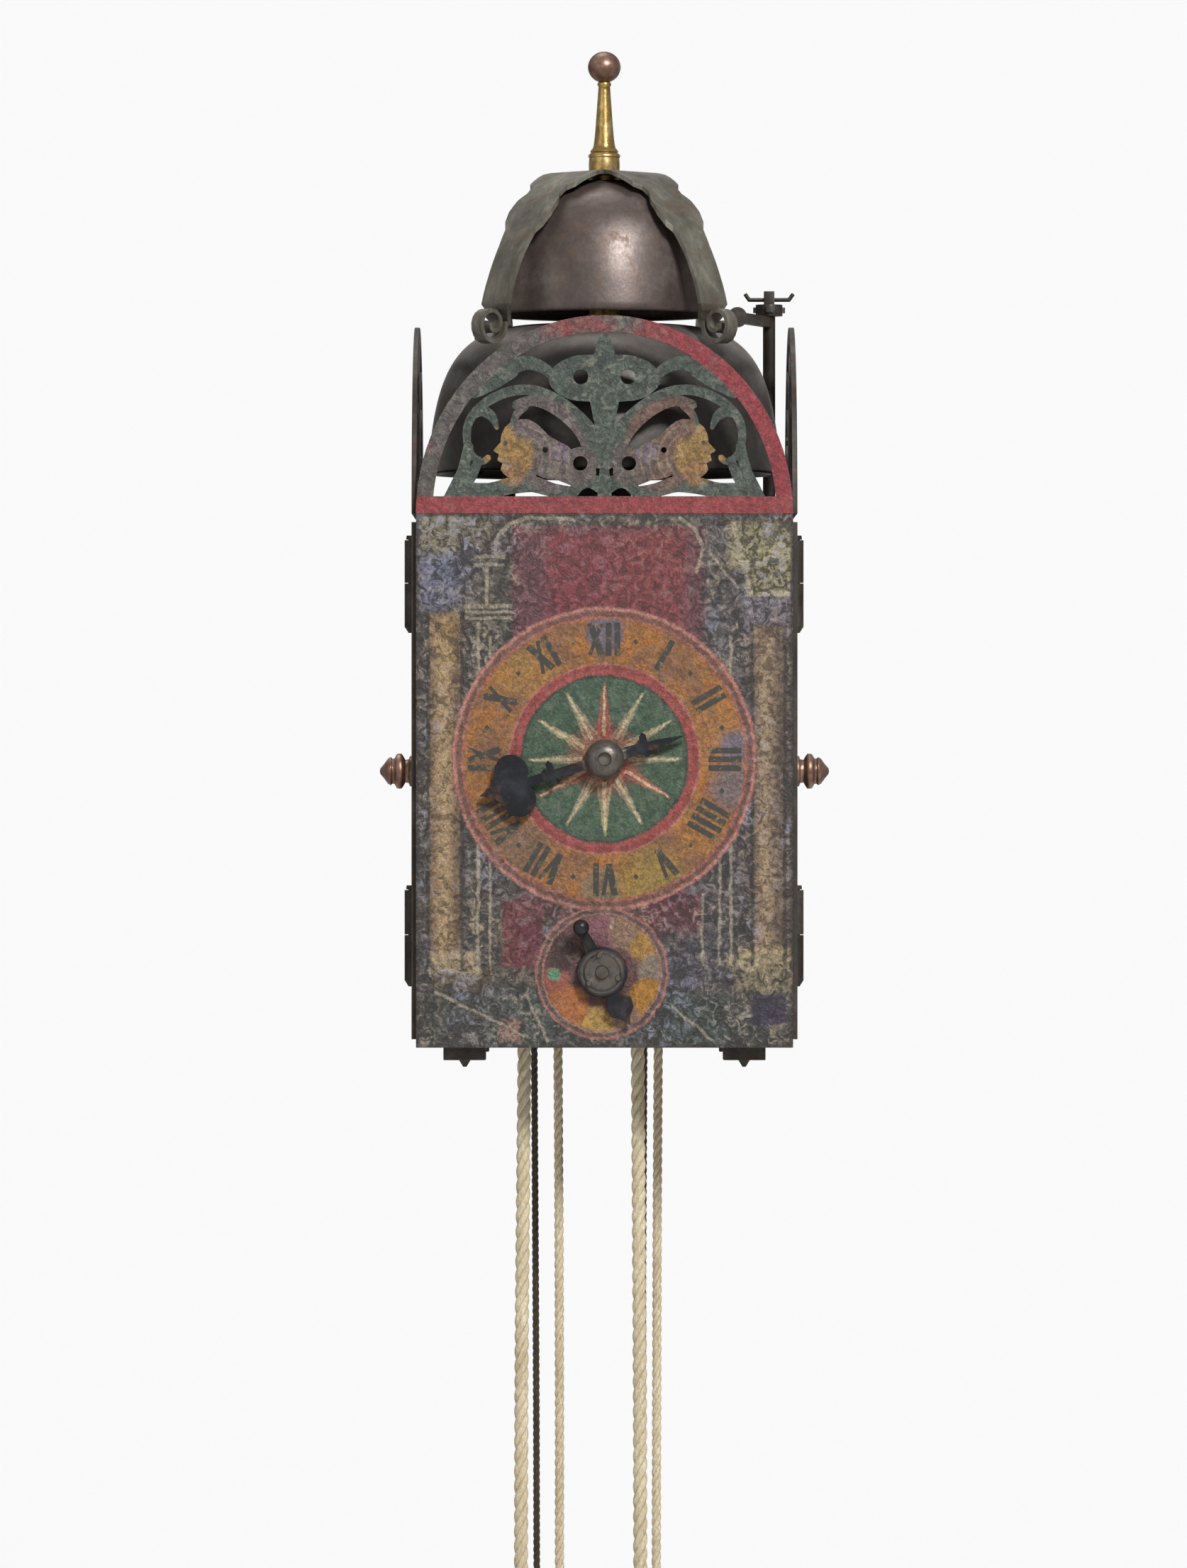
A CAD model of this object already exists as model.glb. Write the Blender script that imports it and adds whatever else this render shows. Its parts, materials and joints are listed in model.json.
"""Visual model of a wall-hung, painted iron chamber clock with two bells and rope-driven trains."""
import json
import logging
import math
from dataclasses import dataclass, field, replace as changed
from enum import Enum
from typing import Callable, Iterable, Sequence

import bmesh
import bpy
import numpy as np
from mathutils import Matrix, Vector


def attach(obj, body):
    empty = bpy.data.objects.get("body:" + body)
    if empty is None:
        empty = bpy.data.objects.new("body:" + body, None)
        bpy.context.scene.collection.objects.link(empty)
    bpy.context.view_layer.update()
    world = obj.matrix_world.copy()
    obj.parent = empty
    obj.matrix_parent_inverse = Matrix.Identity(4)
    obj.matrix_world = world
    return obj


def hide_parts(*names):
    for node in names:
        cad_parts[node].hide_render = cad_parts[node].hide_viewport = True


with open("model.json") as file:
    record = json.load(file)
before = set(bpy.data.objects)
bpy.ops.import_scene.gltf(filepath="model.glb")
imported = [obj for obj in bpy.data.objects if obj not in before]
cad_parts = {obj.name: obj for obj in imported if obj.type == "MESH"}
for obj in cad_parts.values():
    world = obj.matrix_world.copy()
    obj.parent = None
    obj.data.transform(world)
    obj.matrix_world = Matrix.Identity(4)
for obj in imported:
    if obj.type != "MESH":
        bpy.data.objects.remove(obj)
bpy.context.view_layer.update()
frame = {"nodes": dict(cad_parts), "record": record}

LOG = logging.getLogger("clock")
MM = 0.001
WALL_Y = 88.0
EYE_Z = 227.0
PI = math.pi
HOUR_Z = 112.0
DIAL_Y = -75.0
PLATE_HALF = 73.2
PLATE_TOP = 207.5
FRET_H = 77.0
POLE_R = 1e-3
HALF_LETTER = 2.2
THICK = 2.5
THIN = 1.4


def at(x: float, y: float, z: float) -> tuple[float, float, float]:
    """Point of the row frame in metres, from millimetres off the case's middle and underside."""
    return (x * MM, (y - WALL_Y) * MM, (z - EYE_Z) * MM)


def placed(points: np.ndarray) -> np.ndarray:
    """The same move as at(), for an array of points whose last axis is x, y, z in millimetres."""
    return (points - np.array([0.0, WALL_Y, EYE_Z])) * MM


def srgb(code: str) -> tuple[float, float, float, float]:
    """Linear colour of a hex code, for a shader's socket."""
    parts = [int(code[i:i + 2], 16) / 255 for i in (1, 3, 5)]
    return tuple(c / 12.92 if c <= 0.04045 else ((c + 0.055) / 1.055) ** 2.4 for c in parts) + (1.0,)


class Metal(Enum):
    """Which bare surface a metal finish imitates."""

    IRON = "iron"
    STRAP = "strap"
    BLUED = "blued"
    BELL = "bell"
    BRASS = "brass"


# Shader graphs


class Field:
    """A number or socket in a node tree, with arithmetic that makes Math nodes."""

    def __init__(self, graph: "Graph", value: object) -> None:
        """Keep the tree and the socket or number."""
        self.graph = graph
        self.value = value

    def _op(self, name: str, other: object = None) -> "Field":
        """Result of one Math node on this field and another."""
        return self.graph.math(name, self, other)

    def __add__(self, o: object) -> "Field":
        """Sum."""
        return self._op("ADD", o)

    def __sub__(self, o: object) -> "Field":
        """Difference."""
        return self._op("SUBTRACT", o)

    def __mul__(self, o: object) -> "Field":
        """Product."""
        return self._op("MULTIPLY", o)

    def __truediv__(self, o: object) -> "Field":
        """Quotient."""
        return self._op("DIVIDE", o)

    def least(self, o: object) -> "Field":
        """The smaller of the two."""
        return self._op("MINIMUM", o)

    def most(self, o: object) -> "Field":
        """The larger of the two."""
        return self._op("MAXIMUM", o)

    def size(self) -> "Field":
        """Absolute value."""
        return self._op("ABSOLUTE")

    def step(self, soft: float) -> "Field":
        """0 to 1 over a band of the given width round zero: clamp(v / soft + 0.5)."""
        out = self.graph.math("MULTIPLY_ADD", self, 1.0 / soft, 0.5)
        out.value.node.use_clamp = True
        return out


class Graph:
    """Builder of one material's nodes, all on Object coordinates."""

    def __init__(self, material: bpy.types.Material) -> None:
        """Start an empty tree with a Principled shader."""
        material.use_nodes = True
        self.tree = material.node_tree
        self.tree.nodes.clear()
        out = self.tree.nodes.new("ShaderNodeOutputMaterial")
        self.shader = self.tree.nodes.new("ShaderNodeBsdfPrincipled")
        self.tree.links.new(self.shader.outputs[0], out.inputs[0])
        self.coords = self.tree.nodes.new("ShaderNodeTexCoord").outputs["Object"]

    def link(self, socket: bpy.types.NodeSocket, value: object) -> None:
        """Connect a field, a socket, a number or a colour to an input."""
        if isinstance(value, Field):
            value = value.value
        if isinstance(value, bpy.types.NodeSocket):
            self.tree.links.new(value, socket)
        else:
            socket.default_value = value

    def math(self, op: str, a: object, b: object = None, c: object = None) -> Field:
        """One Math node as a field."""
        node = self.tree.nodes.new("ShaderNodeMath")
        node.operation = op
        for socket, value in zip(node.inputs, (a, b, c)):
            if value is not None:
                self.link(socket, value)
        return Field(self, node.outputs[0])

    def axes(self) -> tuple[Field, Field, Field]:
        """x, y and z in millimetres from the case's middle and underside."""
        node = self.tree.nodes.new("ShaderNodeSeparateXYZ")
        self.link(node.inputs[0], self.coords)
        x, y, z = (Field(self, s) for s in node.outputs)
        return x * 1000, y * 1000 + WALL_Y, z * 1000 + EYE_Z

    def scaled(self, sx: float, sy: float, sz: float) -> bpy.types.NodeSocket:
        """Object coordinates stretched by a factor along each axis."""
        node = self.tree.nodes.new("ShaderNodeMapping")
        self.link(node.inputs["Vector"], self.coords)
        node.inputs["Scale"].default_value = (sx, sy, sz)
        return node.outputs[0]

    def noise(self, size_mm: float, detail: float = 4, rough: float = 0.6, warp: float = 0.0,
              vector: object = None) -> Field:
        """Noise whose blotches are about size_mm across, 0 to 1."""
        node = self.tree.nodes.new("ShaderNodeTexNoise")
        self.link(node.inputs["Vector"], self.coords if vector is None else vector)
        node.inputs["Scale"].default_value = 1000.0 / size_mm
        node.inputs["Detail"].default_value = detail
        node.inputs["Roughness"].default_value = rough
        node.inputs["Distortion"].default_value = warp
        return Field(self, node.outputs[0])

    def ramp(self, fac: Field, stops: Sequence[tuple[float, str]]) -> bpy.types.NodeSocket:
        """Colour ramp over the field, with stops of (place, hex code)."""
        node = self.tree.nodes.new("ShaderNodeValToRGB")
        bar = node.color_ramp
        bar.elements[0].position, bar.elements[0].color = stops[0][0], srgb(stops[0][1])
        bar.elements[1].position, bar.elements[1].color = stops[-1][0], srgb(stops[-1][1])
        for place, code in stops[1:-1]:
            bar.elements.new(place).color = srgb(code)
        self.link(node.inputs[0], fac)
        return node.outputs[0]

    def mix(self, fac: object, a: object, b: object, how: str = "MIX") -> bpy.types.NodeSocket:
        """Colour mix: a where fac is 0, b where fac is 1; a and b are sockets or hex codes."""
        node = self.tree.nodes.new("ShaderNodeMix")
        node.data_type = "RGBA"
        node.blend_type = how
        self.link(node.inputs[0], fac)
        for socket, value in ((node.inputs[6], a), (node.inputs[7], b)):
            self.link(socket, srgb(value) if isinstance(value, str) else value)
        return node.outputs[2]

    def bump(self, height: Field, depth_mm: float, after: object = None) -> bpy.types.NodeSocket:
        """Normal from a height field whose full swing is depth_mm."""
        node = self.tree.nodes.new("ShaderNodeBump")
        node.inputs["Strength"].default_value = 1.0
        node.inputs["Distance"].default_value = depth_mm * MM
        self.link(node.inputs["Height"], height)
        if after is not None:
            self.link(node.inputs["Normal"], after)
        return node.outputs[0]

    def finish(self, colour: object, rough: object, metallic: float = 0.0,
               normal: object = None) -> None:
        """Connect the shader's main inputs."""
        self.link(self.shader.inputs["Base Color"], srgb(colour) if isinstance(colour, str) else colour)
        self.link(self.shader.inputs["Roughness"], rough)
        self.shader.inputs["Metallic"].default_value = metallic
        if normal is not None:
            self.link(self.shader.inputs["Normal"], normal)


# Finishes


@dataclass(frozen=True)
class MetalFinish:
    """Old metal: base tone with a darker and a lighter blotch, rust and fine hammer marks."""

    name: str
    kind: Metal
    base: str
    dark: str
    light: str
    rough: float
    metallic: float
    blotch_mm: float = 14.0
    marks_mm: float = 3.0
    marks_depth: float = 0.12
    rust: str = "#5a3a26"
    rust_part: float = 0.2
    worn_at: tuple[float, float, float] | None = None
    soot_y: float | None = None

    def make(self) -> bpy.types.Material:
        """Material of this finish.

        Returns:
            A new material with noise-driven colour, roughness and bump.
        """
        mat = bpy.data.materials.new(self.name)
        g = Graph(mat)
        stretch = g.scaled(1, 1, 0.35) if self.kind is Metal.STRAP else None
        big = g.noise(self.blotch_mm, 5, 0.62, 0.4, stretch)
        fine = g.noise(1.1, 3, 0.6)
        colour = g.ramp(big, [(0.3, self.dark), (0.5, self.base), (0.72, self.light)])
        grain = g.noise(2.6, 4, 0.7, 0.6, stretch)
        colour = g.mix((grain - 0.52).step(0.25) * 0.45, colour, self.dark)
        patches = (g.noise(9.0, 5, 0.7, 0.8) - (0.72 - self.rust_part * 0.5)).step(0.12)
        colour = g.mix(patches * 0.55, colour, self.rust)
        x, y, z = g.axes()
        if self.soot_y is not None:
            shade = (y * -1.0 + ((grain - 0.5) * 14 + self.soot_y)).step(26)
            low = (z * -1.0 + 275.0).step(16)
            colour = g.mix(shade * low * 0.78, colour, "#14110f")
        if self.worn_at:
            dx, dz = x - self.worn_at[0], z - self.worn_at[1]
            near = (g.math("SQRT", dx * dx + dz * dz) * -1.0 + self.worn_at[2]).step(1.2)
            colour = g.mix(near * ((grain - 0.42).step(0.2) * 0.6 + 0.3), colour, "#605a52")
        rough = (fine * 0.22 + (self.rough - 0.11) + patches * 0.12).least(1.0)
        dents = g.noise(self.marks_mm, 3, 0.5, 0.2, stretch)
        normal = g.bump(dents, self.marks_depth)
        normal = g.bump(fine, self.marks_depth * 0.35, normal)
        g.finish(colour, rough, self.metallic, normal)
        return mat


@dataclass(frozen=True)
class RopeFinish:
    """Twisted hemp: warm fibre tone with fine streaks."""

    name: str
    base: str
    dark: str
    light: str

    def make(self) -> bpy.types.Material:
        """Material of the rope's fibres."""
        mat = bpy.data.materials.new(self.name)
        g = Graph(mat)
        fibres = g.noise(0.7, 4, 0.7, 1.0, g.scaled(1, 1, 0.28))
        age = g.noise(26, 3, 0.6)
        colour = g.ramp(fibres, [(0.28, self.dark), (0.5, self.base), (0.74, self.light)])
        colour = g.mix((age - 0.55).step(0.3) * 0.4, colour, self.dark)
        g.finish(colour, fibres * 0.15 + 0.78, 0.0, g.bump(fibres, 0.28))
        return mat


@dataclass(frozen=True)
class WoodFinish:
    """Turned pulley wood: dull brown with rings along the arbor."""

    name: str
    base: str
    dark: str

    def make(self) -> bpy.types.Material:
        """Material of the turned wood."""
        mat = bpy.data.materials.new(self.name)
        g = Graph(mat)
        grain = g.noise(2.2, 5, 0.65, 1.4, g.scaled(1, 0.25, 1))
        g.finish(g.ramp(grain, [(0.3, self.dark), (0.7, self.base)]), grain * 0.2 + 0.5, 0.0,
                 g.bump(grain, 0.08))
        return mat


class Paint:
    """Painted picture on a front plate, made of soft-edged shapes on wobbling coordinates."""

    def __init__(self, name: str, ground: Sequence[tuple[float, str]]) -> None:
        """Start with a mottled ground.

        Args:
            name: the material's name.
            ground: colour stops of the mottled ground.
        """
        self.mat = bpy.data.materials.new(name)
        g = self.g = Graph(self.mat)
        x, _, z = g.axes()
        self.x = x + (g.noise(7.0, 3, 0.6) - 0.5) * 2.0 + (g.noise(1.6, 2, 0.6) - 0.5) * 1.3
        self.z = z + (g.noise(7.3, 3, 0.6, 0.3) - 0.5) * 2.0 + (g.noise(1.8, 2, 0.6, 0.2) - 0.5) * 1.3
        self.clean_x, self.clean_z = x, z
        self.mottle = g.noise(5.5, 6, 0.75, 0.9)
        self.speck = g.noise(1.15, 4, 0.7, 0.5)
        self.flakes = g.noise(2.1, 5, 0.72, 1.1)
        self.colour = g.ramp(self.mottle, ground)
        self.grain = g.noise(3.1, 4, 0.62, 0.9)
        self.chips = g.noise(6.0, 5, 0.72, 0.9)
        self.fine = g.noise(1.3, 3, 0.6, 1.0)
        self.calm = self.flakes * 0.0

    def put(self, mask: Field, code: str, strength: float = 1.0, worn: float = 0.35) -> None:
        """Lay a colour over the picture where the mask is 1, rubbed off by the flakes."""
        keep = (self.flakes * -1.0 + (0.72 - worn * 0.2)).step(0.2)
        self.colour = self.g.mix(mask * strength * (keep * worn + (1 - worn)), self.colour, code)

    def quiet(self, mask: Field, amount: float) -> None:
        """Let fewer specks through where the mask is 1."""
        self.calm = self.calm.most(mask * amount)

    def box(self, x0: float, x1: float, z0: float, z1: float, soft: float = 0.8) -> Field:
        """Mask of a rectangle."""
        side = (self.x - x0).least(self.x * -1.0 + x1)
        return side.least((self.z - z0).least(self.z * -1.0 + z1)).step(soft)

    def away(self, cx: float, cz: float, squeeze: float = 1.0) -> Field:
        """Distance from a point, with z counted squeeze times."""
        dx, dz = self.x - cx, (self.z - cz) * squeeze
        return self.g.math("SQRT", dx * dx + dz * dz)

    def disc(self, cx: float, cz: float, r: float, soft: float = 0.8, squeeze: float = 1.0) -> Field:
        """Mask of a disc or ellipse."""
        return (self.away(cx, cz, squeeze) * -1.0 + r).step(soft)

    def ring(self, cx: float, cz: float, r0: float, r1: float, soft: float = 0.6) -> Field:
        """Mask of a ring."""
        d = self.away(cx, cz)
        return (d - r0).least(d * -1.0 + r1).step(soft)

    def line(self, x0: float, z0: float, x1: float, z1: float, w0: float, w1: float,
             soft: float = 0.5) -> Field:
        """Mask of a stroke between two points, its half width going from w0 to w1."""
        length = math.hypot(x1 - x0, z1 - z0)
        ux, uz = (x1 - x0) / length, (z1 - z0) / length
        dx, dz = self.x - x0, self.z - z0
        along = dx * ux + dz * uz
        off = (dx * uz - dz * ux).size()
        width = along * ((w1 - w0) / length) + w0
        return (width - off).least(along).least(along * -1.0 + length).step(soft)

    def craze(self, pale: Sequence[tuple[float, str]], dark: str, much: float) -> None:
        """Cover what is painted so far with lighter flakes and dark bare spots.

        Args:
            pale: colour stops of the flakes over a broad noise.
            dark: colour of the bare spots.
            much: share of the full strength.
        """
        g = self.g
        loud = self.calm * -1.0 + 1.0
        light = (self.grain - 0.57).step(0.09).most((self.chips - 0.62).step(0.06))
        bare = (self.grain * -1.0 + 0.45).step(0.09).most((self.chips * -1.0 + 0.4).step(0.06))
        zone = (g.noise(17, 3, 0.6, 0.6) - 0.48).step(0.3) * 0.75 + 0.25
        tint = g.mix(0.6, self.colour, g.ramp(g.noise(30, 2, 0.5, 0.5), pale))
        self.colour = g.mix(light * zone * (loud * 0.9 + 0.12) * much, self.colour, tint)
        self.colour = g.mix(bare * (loud * 0.45 + 0.35) * much, self.colour, dark)

    def close(self, dark: str, depth: float) -> bpy.types.Material:
        """Add the fine dirt and the relief of the crazed paint, and connect the shader.

        Args:
            dark: colour of the dirt.
            depth: height of the relief in millimetres.

        Returns:
            The finished material.
        """
        dirt = (self.fine * -1.0 + 0.5).step(0.12) * 0.4 + 0.05
        colour = self.g.mix(dirt, self.colour, dark)
        height = self.grain * 2.0 + self.chips * 1.6 + self.fine * 0.8
        self.g.finish(colour, self.speck * 0.3 + 0.4, 0.0, self.g.bump(height, depth))
        return self.mat


@dataclass(frozen=True)
class Patch:
    """A painted rectangle: its sides in millimetres, soft edge, colour, strength and wear."""

    x0: float
    x1: float
    z0: float
    z1: float
    soft: float
    code: str
    strength: float = 0.8
    worn: float = 0.5


class FrontPicture:
    """The painted architecture, dials and floor on the clock's front plate."""

    QUARTER = (-1.0, 29.0)
    BACK = tuple(Patch(*row) for row in (
        (-72, -57, 188, 208, 2, "#8b8168", 0.75), (-60, -43, 196, 208, 3, "#7d745f", 0.7),
        (-72, -52, 170, 192, 4, "#6c7088", 0.75), (-57, -30, 24, 192, 3, "#4a453f", 0.8),
        (31, 56, 24, 207, 4, "#4d4849", 0.8), (54, 73, 160, 175, 3, "#78707a", 0.7),
        (-44, -34, 150, 203, 3, "#47423d", 0.6), (-73, -66, 20, 165, 3, "#3c3d39", 0.6),
        (-36, 39, 158, 202.5, 2.5, "#63343a", 0.95, 0.25),
        (-22, 31, 163, 201, 5, "#7c2f33", 0.9, 0.25), (-30, 36, 203, 208, 1.5, "#625950", 0.7),
        (-39.8, -24, 31, 57, 1.5, "#64222b", 0.97, 0.25), (-34, 34, 50, 60, 3, "#6d3a3d", 0.7),
        (14, 38, 43, 60, 2, "#612936", 0.9, 0.35), (22, 50, 22, 46, 4, "#45424c", 0.7),
        (-73, 73, -2, 22, 3, "#3d403b", 0.8), (-44, -20, 2, 24, 4, "#3f4a47", 0.6),
        (22, 48, 2, 20, 4, "#39473f", 0.7)))
    COLUMNS = tuple(Patch(*row) for row in (
        (-68, -56, 30, 168, 2.4, "#7f6244", 1.0, 0.3),
        (-65, -60, 31, 160, 3.6, "#ad9168", 0.9, 0.35),
        (-58.5, -56, 31, 167, 1.6, "#5f4c34", 0.7),
        (58, 69.5, 33, 164, 2.4, "#78614d", 1.0, 0.35),
        (60, 64.5, 34, 158, 3.6, "#a08766", 0.9, 0.35), (67, 69.5, 34, 163, 1.6, "#554636", 0.7),
        (48, 73, 186, 204, 2.5, "#8d8360", 0.85), (54, 73, 178, 188, 2, "#8f8560", 0.85),
        (55, 73, 175.4, 177.6, 0.8, "#a89f82", 0.9, 0.3),
        (-68, -50, 32, 37, 1.6, "#a38d6b", 0.95, 0.25), (-63, -58, 150, 168, 5, "#8f7240", 0.8),
        (52, 72, 33, 38.6, 1.6, "#a8936f", 0.95, 0.25), (50, 73, 188, 196, 2.4, "#a59a72", 0.7),
        (-70, -44, 28.6, 31.6, 0.9, "#9a8764", 0.9, 0.3),
        (-67, -46, 23, 28.6, 1.4, "#6e5f49", 0.8), (47, 73, 30, 36, 1.6, "#85775a", 0.85),
        (50, 73, 22, 30, 1.8, "#766a50", 0.8), (57, 70.6, 8.9, 20.8, 0.9, "#2a2136", 0.98, 0.15),
        (-40.8, -32, 2.5, 11, 1.5, "#8a6658", 0.9)))
    LINES = (
        (-51, 190.6, -38.5, 190.6, 0.7), (-51, 187.4, -39, 187.4, 0.6),
        (-55, 171.4, -36, 171.4, 0.8), (-54, 169.2, -35, 169.2, 0.5),
        (-54, 166.8, -36, 166.8, 0.6), (-45.6, 187, -45.6, 172, 0.7), (-42, 197, -42, 191, 0.7),
        (-42, 197, -37.5, 203, 0.8), (-37.5, 203, -29, 206, 0.8), (-29, 206, -12, 205, 0.6),
        (-49, 30, -49, 165, 0.6), (-44.4, 32, -44.4, 160, 0.5), (38, 32, 38, 60, 0.5),
        (49, 32, 49, 160, 0.6), (44.6, 32, 44.6, 150, 0.5), (29, 206, 35.6, 201, 0.7),
        (35.6, 201, 38.6, 194, 0.7), (38.6, 194, 35.8, 184, 0.6), (41, 192, 52, 178, 0.5),
        (50, 204, 56, 178, 0.8), (-66, 22, -30, 4, 0.5), (-30, 20, -22, 2, 0.5),
        (26, 16, 42, 3, 0.5))

    def make(self) -> bpy.types.Material:
        """Material of the front plate.

        Returns:
            The finished material, painted from the back layers to the front ones.
        """
        p = Paint("front_picture", [(0.28, "#1d1714"), (0.42, "#352b25"), (0.52, "#4e4239"),
                                    (0.62, "#655648"), (0.78, "#88765c")])
        for patch in self.BACK + self.COLUMNS:
            mask = p.box(patch.x0, patch.x1, patch.z0, patch.z1, patch.soft)
            p.put(mask, patch.code, patch.strength, patch.worn)
        pale, dark = [(0.35, "#b8a486"), (0.5, "#a2948a"), (0.62, "#9597ad")], "#15110f"
        p.quiet(p.box(-33, 37, 160, 202, 3), 0.72)
        p.quiet(p.box(-68, -56, 31, 168, 2).most(p.box(58, 70, 33, 164, 2)), 0.5)
        p.quiet(p.box(-40, -24, 31, 58, 3), 0.6)
        p.quiet(p.box(57, 70, 9, 21, 1.5), 0.9)
        p.craze(pale, dark, 0.9)
        for x0, z0, x1, z1, w in self.LINES:
            p.put(p.line(x0, z0, x1, z1, w, w), "#9d927c", 0.8, 0.4)
        p.put(p.ring(56, 33.4, 2.2, 3.8, 0.7), "#b0a27c", 0.8, 0.3)
        for x, z0, z1 in ((-68.4, 30, 169), (-55.4, 30, 169), (57.4, 33, 165), (70, 33, 165)):
            p.put(p.line(x, z0, x, z1, 0.7, 0.7), "#1b1613", 0.75, 0.4)
        self._hour_dial(p)
        self._quarter_dial(p)
        rim = (p.clean_x.size() * -1.0 + PLATE_HALF).least(p.clean_z)
        rim = rim.least(p.clean_z * -1.0 + PLATE_TOP)
        p.put((rim * -1.0 + 1.1).step(1.0), "#2a2420", 0.85, 0.3)
        p.craze(pale, dark, 0.45)
        return p.close(dark, 0.42)

    def _hour_dial(self, p: Paint) -> None:
        """Paint the chapter ring, the red band, the green middle and its twelve rays."""
        cz = HOUR_Z
        p.quiet(p.disc(0, cz, 54.5), 0.68)
        p.put(p.disc(0, cz, 59.2), "#6e4638", 1.0, 0.4)
        p.put(p.ring(0, cz, 57.4, 59.2, 0.5), "#a0635a", 0.95, 0.4)
        p.put(p.ring(0, cz, 58.0, 58.7, 0.4), "#b98a78", 0.6, 0.6)
        p.put(p.ring(0, cz, 54.4, 55.6, 0.5), "#a1604f", 0.9, 0.4)
        face = p.disc(0, cz, 54.4, 0.5)
        p.put(face, "#8f6230", 1.0, 0.15)
        broad, other = p.g.noise(26, 3, 0.6, 0.4), p.g.noise(15, 3, 0.6, 0.9)
        p.put(face * (broad - 0.5).step(0.22), "#875d3c", 0.8, 0.4)
        p.put(face * (other - 0.53).step(0.16), "#a2651e", 0.85, 0.3)
        p.put(face * (other * -1.0 + 0.44).step(0.16), "#714830", 0.6, 0.4)
        for x, z, r, soft, code, much in (
                (44, 120, 13, 6, "#9c6c39", 0.6), (51, 117, 6, 4, "#5e6178", 0.8),
                (50, 101, 9, 6, "#6c6264", 0.8), (0, 161, 7.4, 1.5, "#655c6b", 0.95),
                (-1, 62, 8, 4, "#6a6652", 0.7), (-36, 76, 12, 8, "#6f5946", 0.7),
                (18, 66, 12, 7, "#94802f", 0.6), (-32, 148, 12, 6, "#a37a35", 0.5),
                (38, 84, 10, 5, "#9f6c2c", 0.6)):
            p.put(face * p.disc(x, z, r, soft), code, much, 0.4)
        p.put(p.ring(0, cz, 41.0, 41.9, 0.5), "#7b4a36", 0.55, 0.6)
        p.put(p.disc(0, cz, 37.2, 0.5), "#8e3a36", 1.0, 0.2)
        p.put(p.ring(0, cz, 36.4, 37.4, 0.5), "#b0775c", 0.6, 0.5)
        p.put(p.ring(0, cz, 32.6, 34.2, 0.9), "#a44b42", 0.6, 0.5)
        p.put(p.disc(0, cz, 32.2, 0.6), "#3b5a3e", 1.0, 0.2)
        p.put(p.disc(0, cz, 32.6) * (p.mottle - 0.53).step(0.14), "#4d5a48", 0.8, 0.3)
        p.put(p.disc(0, cz, 32.6) * (p.mottle * -1.0 + 0.46).step(0.14), "#2a4030", 0.7, 0.3)
        p.put(p.ring(0, cz, 31.6, 32.6, 0.6), "#1f2a22", 0.7, 0.5)
        p.put(p.disc(0, cz, 13.5, 5.0), "#7e3a30", 0.75, 0.3)
        for k in range(12):
            a = k * PI / 6
            s, c = math.sin(a), math.cos(a)
            broad = 3.6 if k in (0, 6, 11) else 2.7
            tint = ("#9a5141", "#8f8468", "#a08f6a", "#93876b")[k % 4]
            p.put(p.line(5 * s, cz + 5 * c, 29.7 * s, cz + 29.7 * c, broad, 0.45), tint, 0.95, 0.3)
            p.put(p.line(5 * s, cz + 5 * c, 18 * s, cz + 18 * c, broad + 0.4, 0.1), "#93382c", 0.6, 0.4)
            for q in (-0.045, 0.045):
                s2, c2 = math.sin(a + q), math.cos(a + q)
                p.put(p.line(9 * s2, cz + 9 * c2, 28.5 * s, cz + 28.5 * c, 0.35, 0.35, 0.4), "#c3b48c",
                      0.75, 0.6)

    def _quarter_dial(self, p: Paint) -> None:
        """Paint the small dial: a thin double outline and sectors of several colours."""
        cx, cz = self.QUARTER
        p.put(p.disc(cx, cz, 25.8, 1.0), "#5b4a46", 0.9, 0.5)
        p.put(p.ring(cx, cz, 24.7, 25.8, 0.4), "#a0685a", 0.95, 0.35)
        p.put(p.ring(cx, cz, 22.4, 23.3, 0.4), "#a3705c", 0.9, 0.35)
        inner = p.disc(cx, cz, 22.4, 0.6)
        p.quiet(inner, 0.5)
        p.put(inner, "#5b3a38", 1.0, 0.3)
        for dx, dz, r, soft, code in (
                (2, 18, 9, 3, "#84545a"), (11, 16, 8, 3, "#8c6d55"), (17, 10, 6, 2.5, "#a0762f"),
                (20, 1, 6, 2.5, "#7f6f60"), (18, -10, 8, 2, "#a9741f"), (9, -20, 7, 2.5, "#8d6d55"),
                (-3, -20, 7, 2.5, "#a9853f"), (-14, -13, 8.5, 2, "#a4602c"), (-18, -2, 5, 2, "#8e4a3a"),
                (-16, 8, 7, 2, "#3a2019")):
            p.put(inner * p.disc(cx + dx, cz + dz, r, soft), code, 1.0, 0.25)
        p.put(inner * p.disc(cx - 18.6, cz - 0.4, 2.5, 0.8), "#5c8a66", 1.0, 0.3)
        p.put(inner * p.line(cx + 4, cz + 17, cx + 4, cz + 21.5, 0.6, 0.6), "#b39c84", 0.9, 0.4)


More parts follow.
